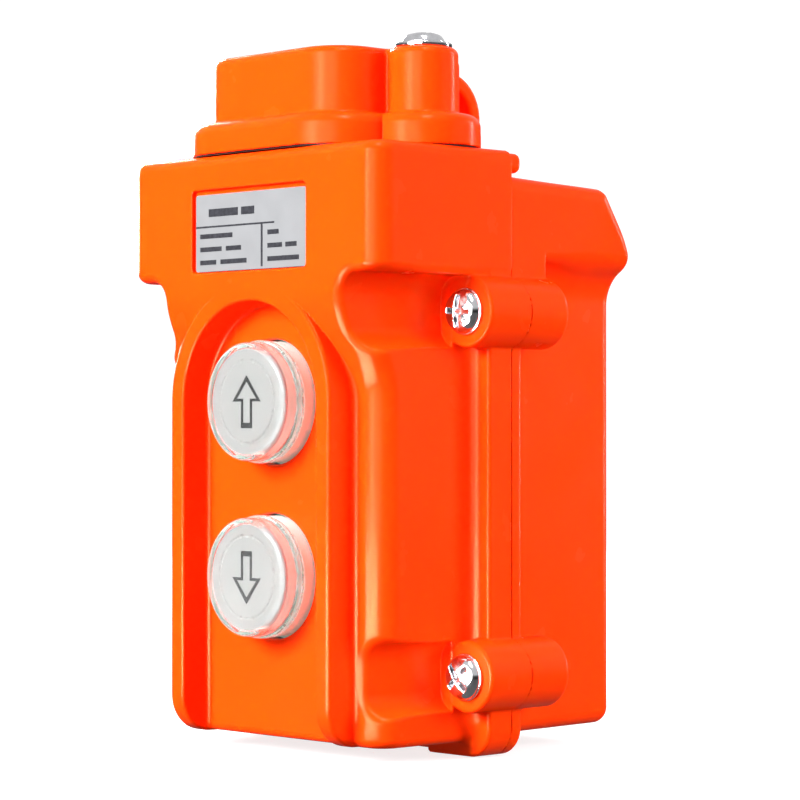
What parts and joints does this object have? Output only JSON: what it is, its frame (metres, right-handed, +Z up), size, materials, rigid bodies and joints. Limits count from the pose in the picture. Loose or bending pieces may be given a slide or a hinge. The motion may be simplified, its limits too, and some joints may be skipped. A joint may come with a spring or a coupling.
{
  "type": "pendant control station",
  "caption": "Hanging hoist pendant: two-part moulded case with a clamped cable head, a hanging eye and raise and lower push buttons behind a raised arch.",
  "frame": {"origin": "centre of the cable entry's mouth, on top of the head", "axes": "+Z up along the cable, -Y out of the front towards the person who presses the buttons, +X to the object's right"},
  "size_m": [0.0904, 0.0779, 0.1493],
  "materials": {
    "orange_shell": "satin gloss moulded, fine orange-peel",
    "black_rubber": "matt",
    "bright_screw": "bright plated with turned marks",
    "plated_steel": "zinc plated",
    "brass": "satin",
    "silver_contact": "satin silver alloy",
    "spring_steel": "drawn wire",
    "label_plate": "satin printed plate",
    "grey_moulding": "matt moulded",
    "black_moulding": "matt moulded",
    "clear_lens": "clear polished",
    "white_legend": "satin white",
    "arrow_ink": "matt ink",
    "milky_cap": "milky translucent"
  },
  "bodies": {
    "housing": {"front_housing": "orange_shell", "rear_housing": "orange_shell", "housing_seal": "black_rubber", "cable_head": "orange_shell", "head_gasket": "black_rubber", "cable_grommet": "black_rubber", "grommet_ring": "plated_steel", "head_screws": "bright_screw", "head_washers": "bright_screw", "head_inserts": "brass", "housing_screws": "bright_screw", "housing_washers": "bright_screw", "housing_inserts": "brass", "rating_label": "label_plate", "up_seal": "black_rubber", "down_seal": "black_rubber", "switch_base": "grey_moulding", "switch_cover": "grey_moulding", "base_screws": "plated_steel", "cover_screws": "plated_steel", "fixed_contacts": "brass", "fixed_tips": "silver_contact", "terminal_clamps": "plated_steel", "terminal_screws": "plated_steel", "cord_saddle": "plated_steel", "saddle_screws": "plated_steel", "up_spring": "spring_steel", "down_spring": "spring_steel"},
    "up_button": {"up_lens": "clear_lens", "up_legend": "white_legend", "up_arrow": "arrow_ink", "up_cap": "milky_cap", "up_carrier": "black_moulding", "up_bridges": "brass", "up_bridge_tips": "silver_contact"},
    "down_button": {"down_lens": "clear_lens", "down_legend": "white_legend", "down_arrow": "arrow_ink", "down_cap": "milky_cap", "down_carrier": "black_moulding", "down_bridges": "brass", "down_bridge_tips": "silver_contact"}
  },
  "joints": [
    {"name": "up_press", "type": "slide", "parent": "housing", "child": "up_button", "axis": [0, 1, 0], "range_m": [0, 0.0048], "stiffness_N_per_m": 500, "springref_m": -0.003, "deforming": ["up_spring"]},
    {"name": "down_press", "type": "slide", "parent": "housing", "child": "down_button", "axis": [0, 1, 0], "range_m": [0, 0.0048], "stiffness_N_per_m": 500, "springref_m": -0.003, "deforming": ["down_spring"]}
  ]
}
